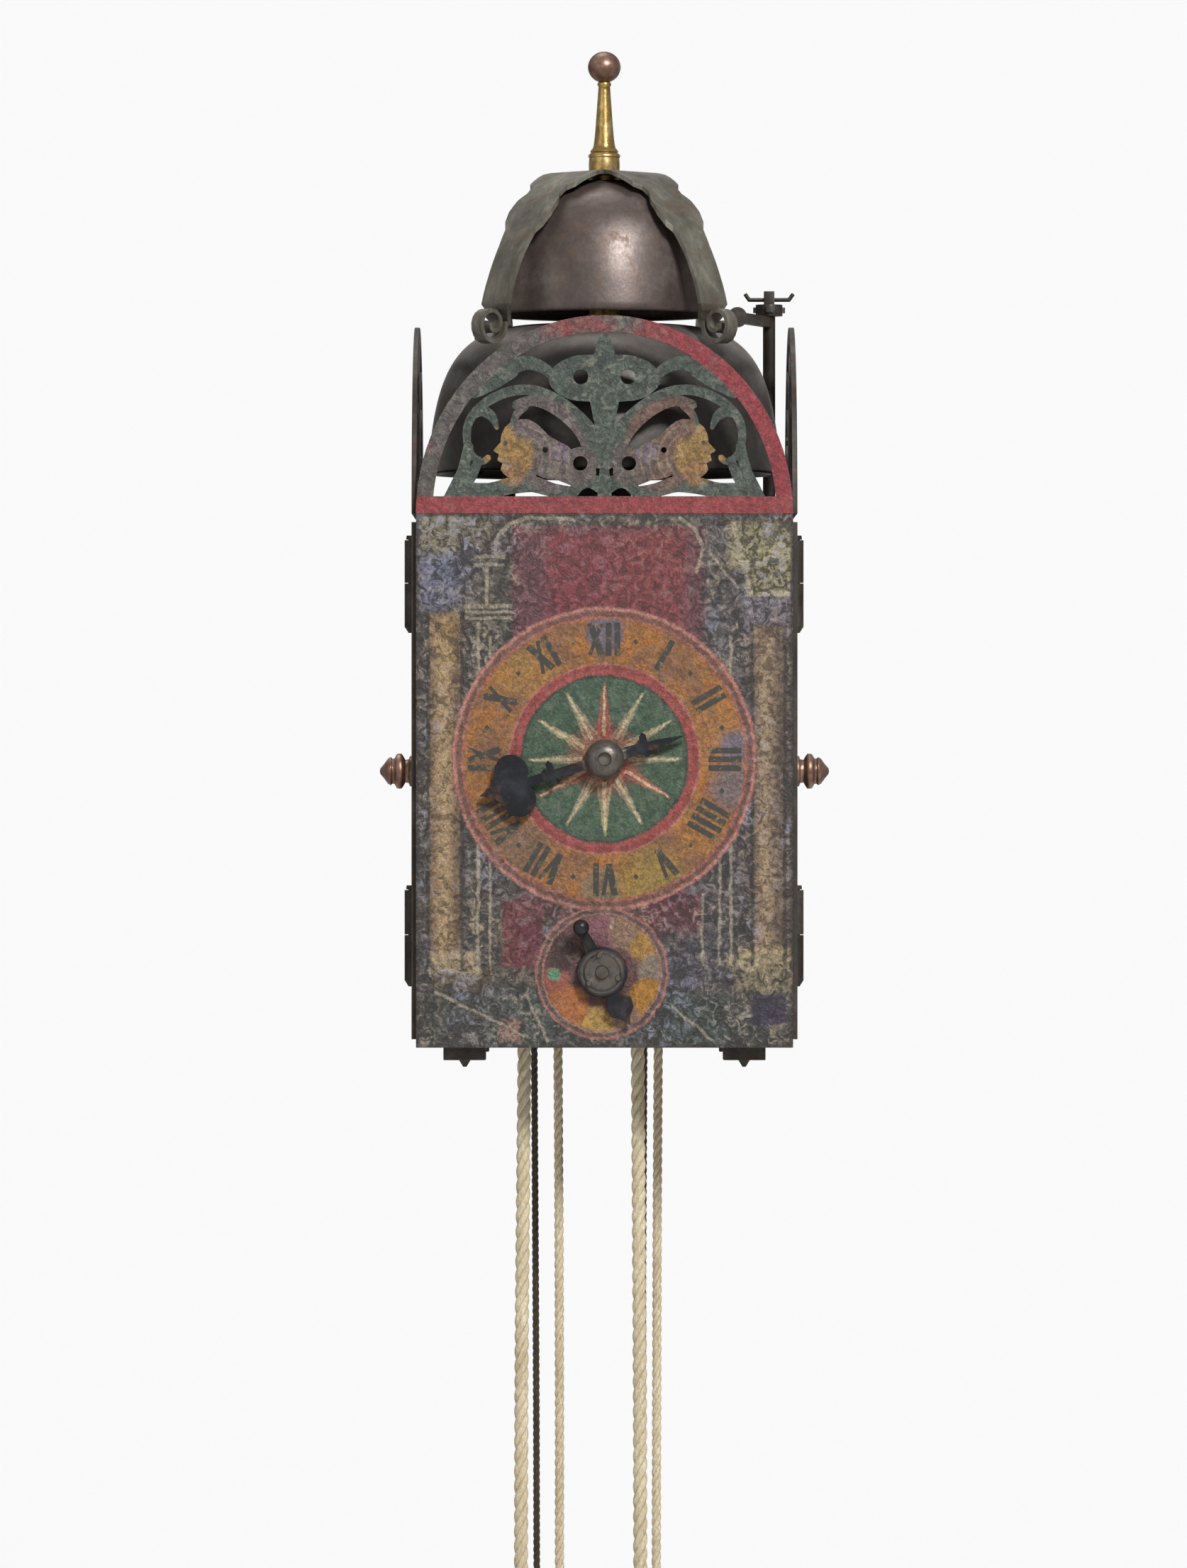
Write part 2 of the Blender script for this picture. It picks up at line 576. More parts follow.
class FretPicture:
    """Paint of the pierced fret: red border, green leafwork, coloured mask heads."""

    def make(self) -> bpy.types.Material:
        """Material of the front fret."""
        p = Paint("fret_paint", [(0.28, "#222b26"), (0.45, "#37433b"),
                                 (0.6, "#4b564b"), (0.78, "#6b7565")])
        z0 = PLATE_TOP
        ex, ez = p.clean_x / PLATE_HALF, (p.clean_z - z0) / FRET_H
        reach = p.g.math("SQRT", ex * ex + ez * ez)
        worn = (p.g.noise(20, 4, 0.6) - 0.5 + p.clean_x * 0.004).step(0.25)
        for side in (-1, 1):
            hair = "#66473b" if side > 0 else "#5f5050"
            p.put(p.disc(side * 22, z0 + 26, 14, 3, 0.8), hair, 0.95, 0.4)
            p.put(p.disc(side * 27, z0 + 40, 9, 2.5, 1.6), hair, 0.9, 0.5)
            p.put(p.disc(side * 11, z0 + 19, 9, 2), "#5d4f4a", 0.8, 0.5)
            p.put(p.disc(side * 16, z0 + 24, 4, 2), "#6d5f6e", 0.8, 0.4)
            p.put(p.disc(side * 37, z0 + 23, 9.6, 1.5, 0.85), "#96733a", 1.0, 0.25)
            p.put(p.disc(side * 35.4, z0 + 15.6, 5, 2), "#8c6440", 0.8, 0.3)
            p.put(p.disc(side * 31, z0 + 33, 4.6, 2), hair, 0.95, 0.4)
            for k in range(4):
                p.put(p.ring(side * 33, z0 + 22, 8.5 + 3.4 * k, 9.2 + 3.4 * k, 0.6)
                      * p.disc(side * 20, z0 + 27, 13, 3), "#8d7a63", 0.7, 0.4)
            p.put(p.disc(side * 38.6, z0 + 27.4, 0.9, 0.5), "#2c1d12", 0.9, 0.2)
            mouth = p.line(side * 36.6, z0 + 19.2, side * 40.6, z0 + 19.4, 0.35, 0.35, 0.4)
            p.put(mouth, "#4a2c1a", 0.9, 0.2)
        border = ((reach - (1 - 6.6 / 74)) * 74).step(0.7)
        p.put(border, "#57504c", 1.0, 0.5)
        p.put(border * worn, "#8c2730", 0.97, 0.25)
        bar = (p.clean_z * -1.0 + (z0 + 6.6)).step(0.6)
        p.put(bar, "#8e3336", 1.0, 0.25)
        p.quiet(border * worn, 0.75)
        p.quiet(bar, 0.75)
        p.craze([(0.35, "#a39c86"), (0.5, "#959687"), (0.62, "#978b80")], "#12100e", 0.55)
        return p.close("#12100e", 0.42)


IRON = MetalFinish("forged_iron", Metal.IRON, "#35302b", "#211d1a", "#4d4740", 0.52, 0.5)
SHEET = MetalFinish("sheet_iron", Metal.IRON, "#3b352f", "#27221e", "#544b42", 0.6, 0.35,
                    22.0, 6.0, 0.2)
FILED = MetalFinish("filed_iron", Metal.IRON, "#6a665e", "#48443e", "#88847a", 0.4, 0.85)
STRAP = MetalFinish("canopy_iron", Metal.STRAP, "#6c695e", "#4b483f", "#8b887b", 0.5, 0.45,
                    10.0, 2.6, 0.2, "#66523f", 0.25)
BLUED = MetalFinish("blued_iron", Metal.BLUED, "#202126", "#121316", "#3a3c43", 0.36, 0.5)
HOUR_IRON = changed(BLUED, name="hour_hand_iron", worn_at=(0.0, 112.0, 8.6))
QUARTER_IRON = changed(BLUED, name="quarter_hand_iron", worn_at=(-1.0, 29.4, 8.4))
UPPER_BELL = MetalFinish("upper_bell_metal", Metal.BELL, "#5d514b", "#433a39", "#746a66", 0.42,
                         0.5, 26.0, 2.2, 0.05, "#5f4632", 0.22)
LOWER_BELL = MetalFinish("lower_bell_metal", Metal.BELL, "#7a736e", "#59534e", "#938b84", 0.4,
                         0.5, 26.0, 2.6, 0.06, "#5c4a3a", 0.2, None, -22.0)
BRASS = MetalFinish("old_brass", Metal.BRASS, "#b3985c", "#80623a", "#dfcd9c", 0.3, 0.9,
                    9.0, 2.0, 0.06, "#7a4a22", 0.3)
BRONZE = MetalFinish("brown_bronze", Metal.BRASS, "#86695a", "#5a4136", "#aa8c78", 0.38, 0.7,
                     8.0, 2.0, 0.08)
TRAIN = MetalFinish("train_brass", Metal.BRASS, "#8d7b4c", "#5f5132", "#a9985f", 0.42, 0.85)
CREAM = RopeFinish("cream_hemp", "#cfc1a3", "#9c8660", "#ebe2cd")
DARK = RopeFinish("dark_hemp", "#4a3f33", "#2a231c", "#6a5c4a")
WOOD = WoodFinish("pulley_wood", "#8c6b45", "#5f4429")


# Meshes


class Shop:
    def __init__(self) -> None:
        """Read which body and slot each node has."""
        record = frame["record"]
        self.body = {n: b for b, names in record["behaviour"]["bodies"].items() for n in names}
        self.slot = {s["node"]: s["material_slot"] for s in record["subparts"]}
        self.mats: dict[str, bpy.types.Material] = {}

    def material(self, finish: object) -> bpy.types.Material:
        """The finish's material, made once."""
        key = getattr(finish, "name", type(finish).__name__)
        if key not in self.mats:
            self.mats[key] = finish.make()
        return self.mats[key]

    def piece(self, name: str, points: np.ndarray, faces: np.ndarray, finish: object,
              nodes: Sequence[str], smooth: bool = True, replace: bool = True) -> bpy.types.Object:
        """Args:
            name: the piece's name.
            points: vertices in metres, one row each.
            faces: vertex numbers, one row of three or four each.
            finish: the finish to dress it in.
            nodes: CAD nodes that it belongs to, the first giving body and slot.
            smooth: whether its faces are shaded smooth.
            replace: whether it stands for those nodes.

        Returns:
            The new object, at the origin.
        """
        mesh = bpy.data.meshes.new(name)
        mesh.from_pydata(np.asarray(points, float).reshape(-1, 3).tolist(), [], triangles(faces))
        mesh.polygons.foreach_set("use_smooth", np.full(len(mesh.polygons), smooth))
        mesh.materials.append(self.material(finish))
        mesh.update()
        obj = bpy.data.objects.new(name, mesh)
        bpy.context.scene.collection.objects.link(obj)
        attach(obj, self.body[nodes[0]])
        if replace:
            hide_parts(*nodes)
        LOG.info("%s: %d faces", name, len(faces))
        return obj

    def eased(self, node: str, width: float, finish: object, segments: int = 2,
              angle: float = 32.0) -> bpy.types.Object:
        """A copy of a CAD node with its hard edges eased, in place of the node.

        Args:
            node: the CAD node.
            width: width of the eased edge in millimetres.
            finish: the finish to dress it in.
            segments: facets across the edge.
            angle: smallest edge angle that is eased, in degrees.

        Returns:
            The new object.
        """
        mesh = frame["nodes"][node].data.copy()
        bm = bmesh.new()
        bm.from_mesh(mesh)
        bmesh.ops.remove_doubles(bm, verts=bm.verts, dist=1e-6)
        bmesh.ops.dissolve_limit(bm, angle_limit=math.radians(1.0), verts=bm.verts, edges=bm.edges)
        bm.to_mesh(mesh)
        bm.free()
        mesh.materials.clear()
        mesh.materials.append(self.material(finish))
        mesh.polygons.foreach_set("use_smooth", np.full(len(mesh.polygons), True))
        name = f"{node}_eased"
        mesh.name = name
        obj = bpy.data.objects.new(name, mesh)
        bpy.context.scene.collection.objects.link(obj)
        bevel = obj.modifiers.new("ease", "BEVEL")
        bevel.width = width * MM
        bevel.segments = segments
        bevel.limit_method = "ANGLE"
        bevel.angle_limit = math.radians(angle)
        bevel.use_clamp_overlap = True
        bevel.harden_normals = True
        mesh.set_sharp_from_angle(angle=math.radians(40))
        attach(obj, self.body[node])
        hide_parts(node)
        LOG.info("%s: eased by %.2f mm", node, width)
        return obj

    def dress(self, node: str, finish: object) -> None:
        """Give a CAD node's own object a finish."""
        obj = frame["nodes"][node]
        mat = self.material(finish)
        if not obj.material_slots:
            obj.data.materials.append(mat)
        for s in obj.material_slots:
            s.material = mat


def grid_faces(rows: int, cols: int, wrap_rows: bool = False, wrap_cols: bool = False) -> np.ndarray:
    """Quads of a rows by cols grid of points, numbered row by row.

    Args:
        rows: number of points along the first parameter.
        cols: number of points along the second parameter.
        wrap_rows: whether the last row joins the first.
        wrap_cols: whether the last column joins the first.

    Returns:
        Vertex numbers, four to a face: (i, j), (i, j+1), (i+1, j+1), (i+1, j).
    """
    i = np.arange(rows if wrap_rows else rows - 1)[:, None]
    j = np.arange(cols if wrap_cols else cols - 1)[None, :]
    i2, j2 = (i + 1) % rows, (j + 1) % cols
    quad = np.stack(np.broadcast_arrays(i * cols + j, i * cols + j2, i2 * cols + j2, i2 * cols + j), -1)
    return quad.reshape(-1, 4)


def joined(parts: Iterable[tuple[np.ndarray, np.ndarray]]) -> tuple[np.ndarray, np.ndarray]:
    """Several meshes as one: the points one after the other and the faces renumbered."""
    points, faces, start = [], [], 0
    for p, f in parts:
        p = np.asarray(p, float).reshape(-1, 3)
        points.append(p)
        faces.append(np.asarray(f, int) + start)
        start += len(p)
    return np.concatenate(points), np.concatenate(faces)


def swept(profile: np.ndarray, segments: int, centre: tuple[float, float, float]) -> np.ndarray:
    """Points of a profile (r, h) turned about an upright axis, in metres.

    Point (i, j) lies at radius r_i and height h_i, at the angle 2 pi j / segments.
    """
    a = np.arange(segments) * 2 * PI / segments
    r, h = profile[:, 0][:, None], profile[:, 1][:, None]
    points = np.stack([r * np.cos(a), r * np.sin(a), h + 0 * a], -1) + np.array(centre)
    return placed(points).reshape(-1, 3)


def revolved(profile: np.ndarray, segments: int,
             centre: tuple[float, float, float]) -> tuple[np.ndarray, np.ndarray]:
    """Closed ring surface: a closed profile turned about an upright axis."""
    return swept(profile, segments, centre), grid_faces(len(profile), segments, True, True)[:, ::-1]


def solid_turned(profile: np.ndarray, segments: int,
                 centre: tuple[float, float, float]) -> tuple[np.ndarray, np.ndarray]:
    """Turned solid: an open profile that starts and ends near the axis, with both ends capped."""
    profile = np.asarray(profile, float)
    profile = np.vstack([[POLE_R, profile[0, 1]], profile, [POLE_R, profile[-1, 1]]])
    ends = np.array([centre, centre], float)
    ends[:, 2] += profile[[0, -1], 1]
    points = np.vstack([swept(profile, segments, centre), placed(ends)])
    n = len(profile) * segments
    last = n - segments
    j = np.arange(segments)
    j2 = (j + 1) % segments
    low = np.stack([np.full(segments, n), j2, j, j], -1)
    high = np.stack([np.full(segments, n + 1), last + j, last + j2, last + j2], -1)
    return points, np.vstack([grid_faces(len(profile), segments, False, True), low, high])


def spline(points: Sequence[Sequence[float]], n: int) -> np.ndarray:
    """Catmull-Rom curve through the points, n steps a span, ends kept."""
    p = np.asarray(points, float)
    p = np.vstack([2 * p[0] - p[1], p, 2 * p[-1] - p[-2]])
    t = np.linspace(0, 1, n, endpoint=False)[:, None]
    out = []
    for a, b, c, d in zip(p[:-3], p[1:-2], p[2:-1], p[3:]):
        out.append(0.5 * (2 * b + (c - a) * t + (2 * a - 5 * b + 4 * c - d) * t ** 2
                          + (3 * b - a - 3 * c + d) * t ** 3))
    return np.vstack(out + [p[-2][None]])


def resampled(points: np.ndarray, step: float) -> np.ndarray:
    """The same line with points at equal distances of about step."""
    seg = np.linalg.norm(np.diff(points, axis=0), axis=1)
    s = np.concatenate([[0], np.cumsum(seg)])
    n = max(2, int(round(s[-1] / step)) + 1)
    want = np.linspace(0, s[-1], n)
    return np.stack([np.interp(want, s, points[:, k]) for k in range(points.shape[1])], -1)


def frames(line: np.ndarray, up: np.ndarray) -> tuple[np.ndarray, np.ndarray]:
    """Two unit normals at each point of a line, kept from twisting by a fixed up vector."""
    t = np.gradient(line, axis=0)
    t /= np.linalg.norm(t, axis=1)[:, None]
    a = np.cross(t, up)
    a /= np.linalg.norm(a, axis=1)[:, None]
    return a, np.cross(t, a)


def laid_rope(line: np.ndarray, dia: float, up: Sequence[float], lay: float = 3.1,
              strands: int = 3, sides: int = 9) -> tuple[np.ndarray, np.ndarray]:
    """Twisted rope along a line, in millimetres.

    Each strand's centre turns round the line at a quarter of the diameter, once in lay
    diameters, and a circle of about the same radius is carried along it.
    """
    line = resampled(line, dia * lay / 15)
    n = len(line)
    s = np.arange(n) * np.linalg.norm(line[1] - line[0])
    a, b = frames(line, np.asarray(up, float))
    parts = []
    for k in range(strands):
        turn = 2 * PI * (s / (dia * lay) + k / strands)
        out = np.cos(turn)[:, None] * a + np.sin(turn)[:, None] * b
        centre = line + out * dia * 0.24
        na, nb = frames(centre, np.asarray(up, float))
        ang = np.arange(sides) * 2 * PI / sides
        circle = np.cos(ang)[None, :, None] * na[:, None] + np.sin(ang)[None, :, None] * nb[:, None]
        grid = centre[:, None] + circle * dia * 0.262
        faces = grid_faces(n, sides, False, True)
        low = np.stack([np.arange(1, sides - 1) * 0, np.arange(2, sides), np.arange(1, sides - 1),
                        np.arange(1, sides - 1)], -1)
        high = np.stack([np.arange(1, sides - 1) * 0, np.arange(1, sides - 1), np.arange(2, sides),
                         np.arange(2, sides)], -1) + (n - 1) * sides
        parts.append((placed(grid).reshape(-1, 3), np.vstack([faces, low, high])))
    return joined(parts)


def triangles(faces: np.ndarray) -> list[list[int]]:
    """Faces as lists, with the doubled last corner of each triangle dropped."""
    return [f[:3] if f[3] == f[2] else f for f in np.asarray(faces, int).tolist()]


# Sub-assemblies


@dataclass
class View:
    """Camera at the photograph's angle, lamps, floor and backdrop."""

    lens: float = 207.0
    cam: tuple[float, float, float] = (-4.27, -3575.0, 102.4)
    floor_z: float = -620.0

    def build(self) -> None:
        """Make the camera, the world, the lamps and the staging."""
        scene = bpy.context.scene
        data = bpy.data.cameras.new("photo_camera")
        data.sensor_width = 36.0
        data.lens = self.lens
        data.clip_start, data.clip_end = 0.05, 60
        cam = bpy.data.objects.new("photo_camera", data)
        cam.location = at(*self.cam)
        cam.rotation_euler = (PI / 2, 0, 0)
        scene.collection.objects.link(cam)
        scene.camera = cam
        scene.view_settings.view_transform = "Standard"
        self._world()
        self._lamp("key", (0.7, -2.0, 1.3), 0.5, 64)
        self._lamp("fill", (-1.5, -1.7, 0.35), 1.4, 6)
        self._lamp("crown", (-0.2, 0.5, 1.7), 1.0, 12)
        self._lamp("low", (0.1, -1.8, -0.7), 1.2, 1.5)
        self._plane("floor", [(-6, -6, 0), (6, -6, 0), (6, 6, 0), (-6, 6, 0)],
                    (0, 0, (self.floor_z - EYE_Z) * MM))
        self._plane("backdrop", [(-6, 0, -1), (6, 0, -1), (6, 0, 5), (-6, 0, 5)], (0, 2.6, 0))

    def _world(self) -> None:
        """Even white surroundings, brighter to the camera than to the object."""
        world = bpy.data.worlds.new("studio")
        bpy.context.scene.world = world
        world.use_nodes = True
        tree = world.node_tree
        bg = tree.nodes["Background"]
        path = tree.nodes.new("ShaderNodeLightPath")
        shine = tree.nodes.new("ShaderNodeMath")
        shine.operation = "MULTIPLY_ADD"
        shine.inputs[1].default_value = 0.25
        shine.inputs[2].default_value = 0.17
        tree.links.new(path.outputs["Is Glossy Ray"], shine.inputs[0])
        seen = tree.nodes.new("ShaderNodeMath")
        seen.operation = "MULTIPLY_ADD"
        seen.inputs[1].default_value = 0.83
        tree.links.new(path.outputs["Is Camera Ray"], seen.inputs[0])
        tree.links.new(shine.outputs[0], seen.inputs[2])
        tree.links.new(seen.outputs[0], bg.inputs["Strength"])
        bg.inputs["Color"].default_value = (1, 1, 1, 1)

    def _lamp(self, name: str, place: tuple[float, float, float], size: float, watts: float) -> None:
        """Square lamp that faces the clock's middle."""
        data = bpy.data.lights.new(name, "AREA")
        data.size = size
        data.energy = watts
        lamp = bpy.data.objects.new(name, data)
        lamp.location = place
        aim = Vector((0, -0.09, -0.08)) - Vector(place)
        lamp.rotation_mode = "QUATERNION"
        lamp.rotation_quaternion = aim.to_track_quat("-Z", "Y")
        bpy.context.scene.collection.objects.link(lamp)

    def _plane(self, name: str, corners: Sequence[tuple[float, float, float]],
               shift: tuple[float, float, float]) -> None:
        """Pale staging sheet, white to the camera and plain to the light."""
        mesh = bpy.data.meshes.new(name)
        mesh.from_pydata([tuple(c + s for c, s in zip(p, shift)) for p in corners], [], [(0, 1, 2, 3)])
        mat = bpy.data.materials.new(name)
        mat.use_nodes = True
        tree = mat.node_tree
        base = tree.nodes["Principled BSDF"]
        base.inputs["Base Color"].default_value = (0.86, 0.86, 0.86, 1)
        base.inputs["Roughness"].default_value = 0.95
        glow = tree.nodes.new("ShaderNodeEmission")
        glow.inputs["Strength"].default_value = 1.0
        path = tree.nodes.new("ShaderNodeLightPath")
        part = tree.nodes.new("ShaderNodeMath")
        part.operation = "MULTIPLY"
        part.inputs[1].default_value = 0.9
        tree.links.new(path.outputs["Is Camera Ray"], part.inputs[0])
        mix = tree.nodes.new("ShaderNodeMixShader")
        tree.links.new(part.outputs[0], mix.inputs[0])
        tree.links.new(base.outputs[0], mix.inputs[1])
        tree.links.new(glow.outputs[0], mix.inputs[2])
        out = tree.nodes["Material Output"]
        tree.links.new(mix.outputs[0], out.inputs[0])
        mesh.materials.append(mat)
        obj = bpy.data.objects.new(name, mesh)
        bpy.context.scene.collection.objects.link(obj)


@dataclass
class Strand:
    """One free stretch of rope: where it leaves the base plate and how it hangs."""

    node: str
    x: float
    y: float
    dia: float
    points: list[tuple[float, float, float]]
    finish: RopeFinish


@dataclass
class Ropes:
    """The three ropes: free strands with their spliced eyes, and the stretch over each pulley."""

    strands: list[Strand] = field(default_factory=lambda: [
        Strand("going_rope_left", -31.4, -30, 5.7, [(0, 0, 0), (-0.6, 0, -60), (-1.2, 0, -130),
                                                    (-1.4, 0, -212)], CREAM),
        Strand("going_rope_right", 13.1, -30, 5.7, [(0, 0, 0), (0.4, 0, -60), (0.8, 0, -130),
                                                    (1, 0, -212)], CREAM),
        Strand("strike_rope_left", -18.4, 4, 3.8, [(0, 0, 0), (0.4, 0, -70), (0.6, 0, -140),
                                                   (0.6, 0, -212)], CREAM),
        Strand("strike_rope_right", 21.4, 4, 3.8, [(0, 0, 0), (-0.4, 0, -70), (-0.6, 0, -140),
                                                   (-0.8, 0, -212)], CREAM),
        Strand("quarter_rope_left", -28, 34, 2.8, [(0, 0, 0), (0.4, 0, -70), (0.8, 0, -140),
                                                   (1, 0, -212)], DARK),
        Strand("quarter_rope_right", 16, 34, 2.8, [(0, 0, 0), (-0.4, 0, -70), (-0.6, 0, -140),
                                                   (-0.6, 0, -212)], DARK)])
    great_z: float = 50.0

    def build(self, shop: Shop) -> None:
        """Make the strands, their eyes and the ropes inside the case."""
        for s in self.strands:
            line = spline([(s.x + p[0], s.y + p[1], p[2]) for p in s.points], 8)
            pts, faces = laid_rope(line, s.dia, (0, 1, 0))
            rope = shop.piece(s.node + "_laid", pts, faces, s.finish, [s.node])
            eye = self._eye(shop, s)
            route = placed(line)
        self._inside(shop)

    def _eye(self, shop: Shop, s: Strand) -> bpy.types.Object:
        """Spliced eye with its whipping: rope round a circle, and a ridged sleeve over the splice."""
        end = np.array([s.x, s.y, 0.0]) + np.array(s.points[-1])
        ring = s.dia * 1.1 + 1.6
        sleeve = s.dia * 1.8
        a = np.linspace(-PI * 1.5 + 0.04, PI * 0.5 - 0.04, 60)
        circle = np.stack([np.cos(a) * ring, 0 * a, np.sin(a) * ring], -1)
        loop = laid_rope(end + [0, 0, -sleeve - ring] + circle, s.dia * 0.97, (0, 1, 0))
        h = np.linspace(0, sleeve, 60)
        wound = s.dia * 0.80 + 0.05 * s.dia * np.abs(np.sin(h / sleeve * PI * 9))
        wound *= np.minimum(1.0, 0.78 + np.minimum(h, sleeve - h) / s.dia)
        cover = solid_turned(np.stack([wound, h - sleeve], -1), 20, tuple(end))
        pts, faces = joined([loop, cover])
        return shop.piece(s.node + "_eye", pts, faces, s.finish, ["rope_eyes"])

    def _inside(self, shop: Shop) -> None:
        """Each rope up one side, over its pulley and down the other, as one line."""
        parts = []
        for left, right in zip(self.strands[::2], self.strands[1::2]):
            mid, r = (left.x + right.x) / 2, (right.x - left.x) / 2
            a = np.linspace(PI, 0, 40)
            over = np.stack([mid + r * np.cos(a), 0 * a + left.y, self.great_z + r * np.sin(a)], -1)
            line = np.vstack([[left.x, left.y, 0.2], over, [right.x, right.y, 0.2]])
            parts.append(laid_rope(line, left.dia * 0.98, (0, 1, 0)))
        pts, faces = joined(parts)
        shop.piece("ropes_over_pulleys", pts, faces, CREAM, ["ropes_in_case"])


@dataclass
class Bells:
    """Two bells, the strap canopy over them and the finial."""

    segments: int = 120

    def build(self, shop: Shop) -> None:
        """Make the smooth bells, the canopy and the finial."""
        self._bell(shop, "lower_bell", LOWER_BELL, 69.9, 59, 225.0, 0.44, 4.2, 0.05)
        self._bell(shop, "upper_bell", UPPER_BELL, 46, 53, 288.0, 0.30, 2.4, 0.0)
        shop.eased("bell_canopy", 0.35, STRAP)
        self._finial(shop)

    def _bell(self, shop: Shop, node: str, finish: MetalFinish, r: float, h: float, z: float,
              neck: float, lip: float, full: float) -> None:
        """Bell of revolution: the outer and inner walls are cubic Bezier curves, the lip is rounded.

        The share full swells the shoulder outwards and upwards.
        """
        t = np.linspace(0, 1, 40)[:, None]
        wall = 3.0

        def curve(c: Sequence[tuple[float, float]]) -> np.ndarray:
            """Cubic Bezier through four control points."""
            c = np.array(c)
            return (c[0] * (1 - t) ** 3 + 3 * c[1] * t * (1 - t) ** 2 + 3 * c[2] * t * t * (1 - t)
                    + c[3] * t ** 3)

        low, high = (r * (0.94 + full / 2), h * (0.62 + full)), (r * (0.80 + full), h * (0.93 + full))
        outer = curve([(r, 1.0), low, high, (r * neck, h)])
        inner = curve([(r - lip, 0.6), (low[0] - wall, low[1] - 1), (high[0] - wall, high[1] - wall),
                       (r * neck, h - wall)])
        lip_arc = np.array([(r - lip, 0.6), (r - lip + 0.4, 0.15), (r - lip + 1, 0.0), (r - 0.9, 0.0),
                            (r - 0.25, 0.3)])
        top = np.array([(r * neck * 0.5, h), (3.7, h), (3.6, h - 0.2), (3.6, h - wall),
                        (r * neck * 0.5, h - wall)])
        profile = np.vstack([lip_arc[1:], outer, top, inner[::-1][:-1], lip_arc[:1]])
        pts, faces = revolved(profile[::-1], self.segments, (0, 0, z))
        obj = shop.piece(node + "_cast", pts, faces, finish, [node])
        obj.data.set_sharp_from_angle(angle=math.radians(50))

    def _finial(self, shop: Shop) -> None:
        """Turned stem with its base drum, and the ball on its neck."""
        z0 = 344.8
        stem = np.vstack([[(0.01, 0.0), (5.7, 0.0), (6.1, 0.4)],
                          spline([(6.1, 0.8), (6.15, 3.0), (6.0, 5.8)], 4),
                          [(6.3, 6.1), (6.35, 6.7), (6.1, 7.2), (5.3, 7.7), (5.6, 8.3), (5.3, 8.9)],
                          spline([(4.7, 9.5), (4.2, 11.1), (3.55, 17), (2.9, 26), (2.3, 34.0)], 6),
                          [(2.7, 34.6), (2.75, 35.2), (2.4, 35.8), (1.4, 36.0)]])
        pts, faces = solid_turned(stem, 64, (0, 0, z0))
        obj = shop.piece("finial_stem_turned", pts, faces, BRASS, ["finial_stem"])
        obj.data.set_sharp_from_angle(angle=math.radians(38))
        a = np.linspace(-1.32, 1.42, 40)
        ball = np.stack([6.5 * np.cos(a), 6.2 * np.sin(a)], -1)
        ball = np.vstack([[(1.9, -6.0)], ball])
        pts, faces = solid_turned(ball, 64, (0, 0, z0 + 41.8))
        shop.piece("finial_ball_turned", pts, faces, BRONZE, ["finial_ball"])


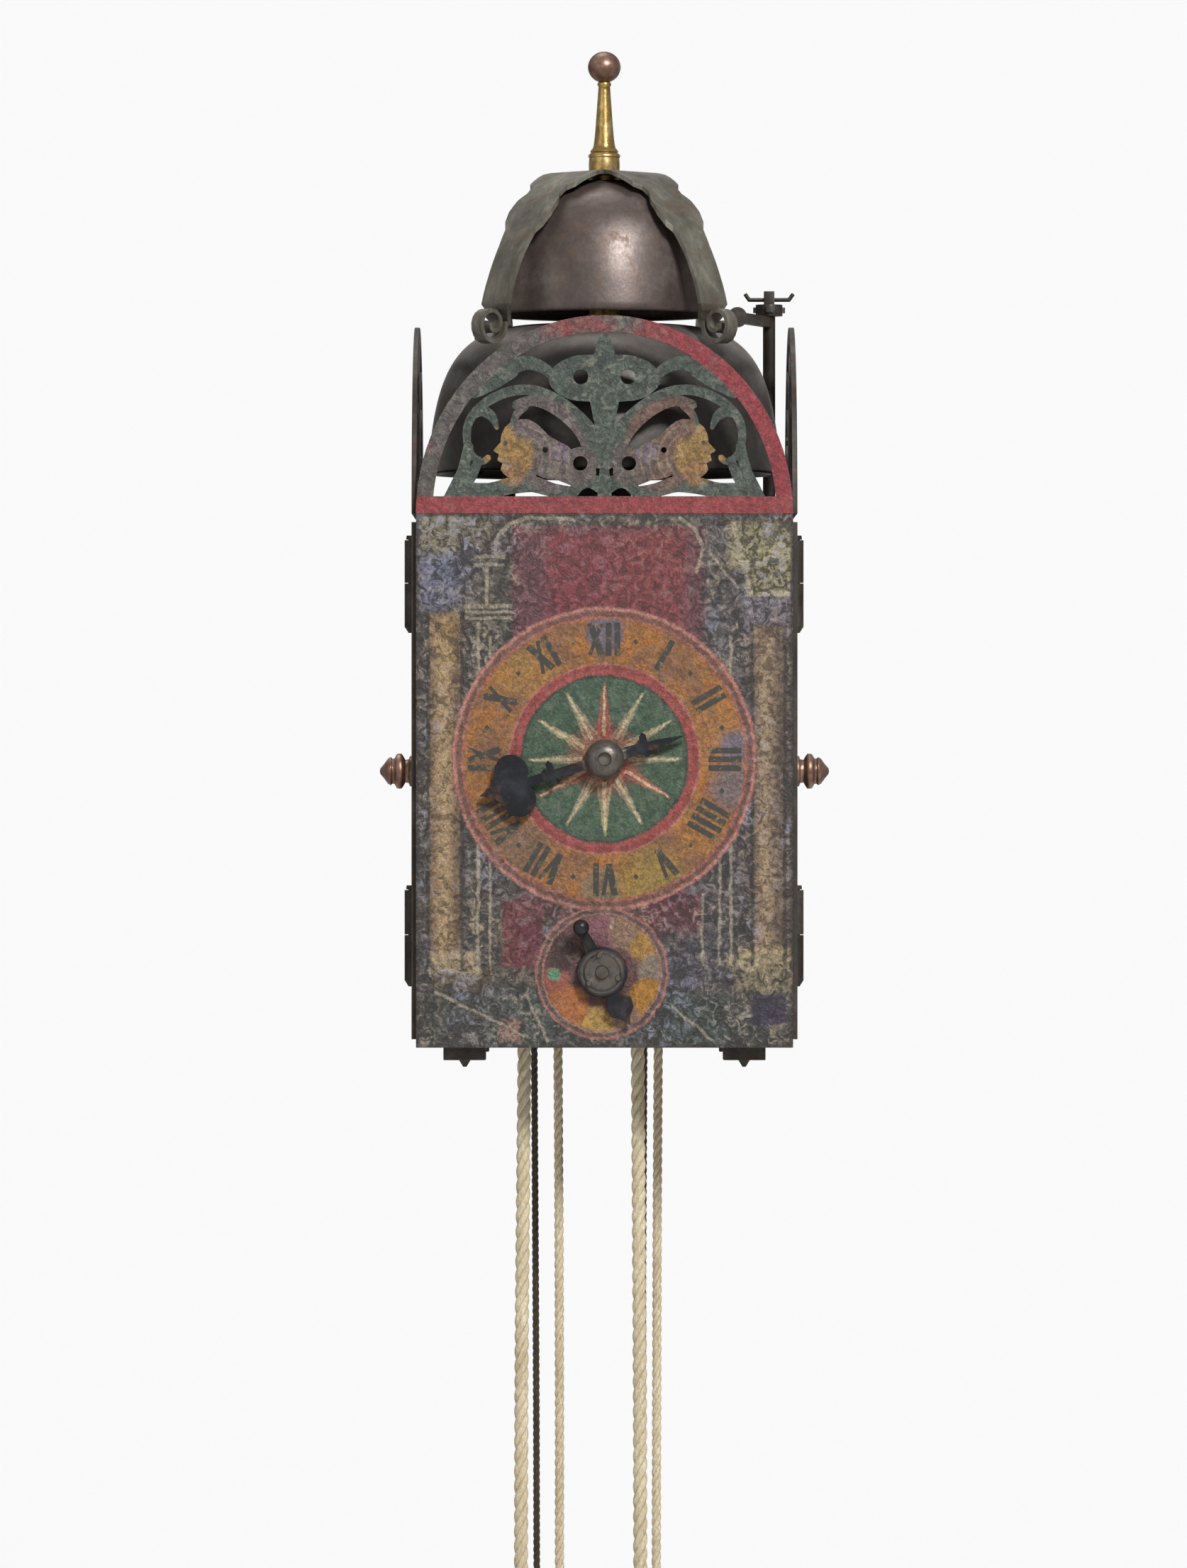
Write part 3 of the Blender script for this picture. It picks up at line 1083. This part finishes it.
class Front:
    """Painted plate, its numerals, the fret and the two hands."""

    def build(self, shop: Shop) -> None:
        """Dress the plate and the fret, and make the numerals."""
        shop.eased("dial_plate", 0.35, FrontPicture())
        shop.eased("front_fret", 0.45, FretPicture())
        shop.eased("hour_hand", 0.35, HOUR_IRON)
        shop.eased("quarter_hand", 0.3, QUARTER_IRON)
        self._numerals(shop)

    def _stroke(self, x0: float, z0: float, x1: float, z1: float, w: float) -> np.ndarray:
        """Corners of a brush stroke between two points, w wide."""
        d = np.array([x1 - x0, z1 - z0])
        d = d / np.linalg.norm(d)
        n = np.array([-d[1], d[0]]) * w / 2
        return np.array([[x0, z0] - n, [x1, z1] - n, [x1, z1] + n, [x0, z0] + n])

    def _numerals(self, shop: Shop) -> None:
        """Roman hours and half-hour marks, as thin brush strokes standing off the paint."""
        glyphs = ["XII", "I", "II", "III", "IIII", "V", "VI", "VII", "VIII", "IX", "X", "XI"]
        r0, r1 = 40.6, 52.8
        widths = {"I": 3.4, "V": 6.6, "X": 6.6}
        quads, lift = [], []
        for hour, text in enumerate(glyphs):
            a = hour * PI / 6
            ux, uz = np.array([math.sin(a), math.cos(a)]), np.array([math.cos(a), -math.sin(a)])
            total = sum(widths[c] for c in text)
            side = -total / 2
            for c in text:
                w = widths[c]
                mid = side + w / 2
                side += w
                near, far = mid - HALF_LETTER, mid + HALF_LETTER
                lines = {"I": [(mid, r0, mid, r1, 2.2)],
                         "V": [(near, r1, mid, r0, THICK), (far, r1, mid, r0, THIN)],
                         "X": [(near, r1, far, r0, THICK), (far, r1, near, r0, THIN)]}[c]
                if c == "I":
                    lines += [(mid - 1.1, q, mid + 1.1, q, 0.6) for q in (r0, r1)]
                for k, (s0, q0, s1, q1, wid) in enumerate(lines):
                    quad = self._stroke(s0, q0, s1, q1, wid)
                    quads.append(quad[:, :1] * uz + quad[:, 1:] * ux)
                    lift.append(0.10 + 0.03 * k)
            b = (hour + 0.5) * PI / 6
            centre = 47.2 * np.array([math.sin(b), math.cos(b)])
            spot = np.array([[0, 1.2], [-1.0, 0], [0, -1.2], [1.0, 0]])
            quads.append(centre + spot)
            lift.append(0.10)
        flat = np.array(quads)
        y = np.full(flat.shape[:2], DIAL_Y)
        front = np.stack([flat[..., 0], y - np.array(lift)[:, None], flat[..., 1] + HOUR_Z], -1)
        back = np.stack([flat[..., 0], y + 0.02, flat[..., 1] + HOUR_Z], -1)
        pts = np.concatenate([front, back], 1)
        base = (np.arange(len(flat)) * 8)[:, None, None]
        box = np.array([[0, 1, 2, 3], [7, 6, 5, 4], [0, 4, 5, 1],
                        [1, 5, 6, 2], [2, 6, 7, 3], [3, 7, 4, 0]])
        faces = (base + box[None]).reshape(-1, 4)
        obj = shop.piece("hour_numerals", placed(pts).reshape(-1, 3), faces, NUMERAL, ["dial_plate"],
                         smooth=False, replace=False)
        bm = bmesh.new()
        bm.from_mesh(obj.data)
        bmesh.ops.recalc_face_normals(bm, faces=bm.faces)
        bm.to_mesh(obj.data)
        bm.free()


@dataclass(frozen=True)
class NumeralFinish:
    """Worn black-green brush paint."""

    name: str = "numeral_paint"

    def make(self) -> bpy.types.Material:
        """Material of the numerals: dark paint rubbed through to ochre in places."""
        mat = bpy.data.materials.new(self.name)
        g = Graph(mat)
        rub = (g.noise(3.2, 5, 0.75, 0.8) - 0.6).step(0.12)
        colour = g.mix(rub * 0.75, "#2c2a24", "#8a6f48")
        g.finish(colour, 0.6, 0.0, g.bump(g.noise(1.2, 3), 0.05))
        return mat


NUMERAL = NumeralFinish()


class Case:
    """Plates, posts, doors, hinges, hammers and the hidden trains."""

    def build(self, shop: Shop) -> None:
        """Ease and dress everything that shows, and dress the rest."""
        for node in ("base_plate", "top_plate", "back_plate", "left_door", "right_door"):
            shop.eased(node, 0.3, SHEET)
        for node in ("left_fret", "right_fret", "post_nuts", "hanging_bracket", "wall_spurs",
                     "hinge_leaves", "hour_hammer", "quarter_hammer", "hammer_cotter"):
            shop.eased(node, 0.3, IRON)
        for node in ("left_knob", "right_knob"):
            shop.eased(node, 0.2, BRONZE)
        plain = {
            IRON: ["corner_posts"],
            FILED: ["front_bar", "second_bar", "third_bar", "rear_bar", "potence", "bell_spindle",
                    "balance_cock", "going_great_wheel", "verge", "balance_wheel", "hour_wheel",
                    "quarter_pinion", "strike_great_wheel", "quarter_great_wheel", "strike_fly",
                    "quarter_fly"],
            TRAIN: ["going_second_wheel", "crown_wheel", "strike_count_disc", "strike_hoop_wheel",
                    "quarter_count_disc", "quarter_hoop_wheel"],
            BRASS: ["bell_spacer"],
            WOOD: ["going_pulley", "strike_pulley", "quarter_pulley"]}
        for finish, nodes in plain.items():
            for node in nodes:
                shop.dress(node, finish)


def main() -> None:
    """Build the view, then each sub-assembly."""
    logging.basicConfig(level=logging.INFO, format="%(message)s")
    View().build()
    shop = Shop()
    Ropes().build(shop)
    Bells().build(shop)
    Front().build(shop)
    Case().build(shop)
    LOG.info("boxes written")


if __name__ == "__main__":
    main()
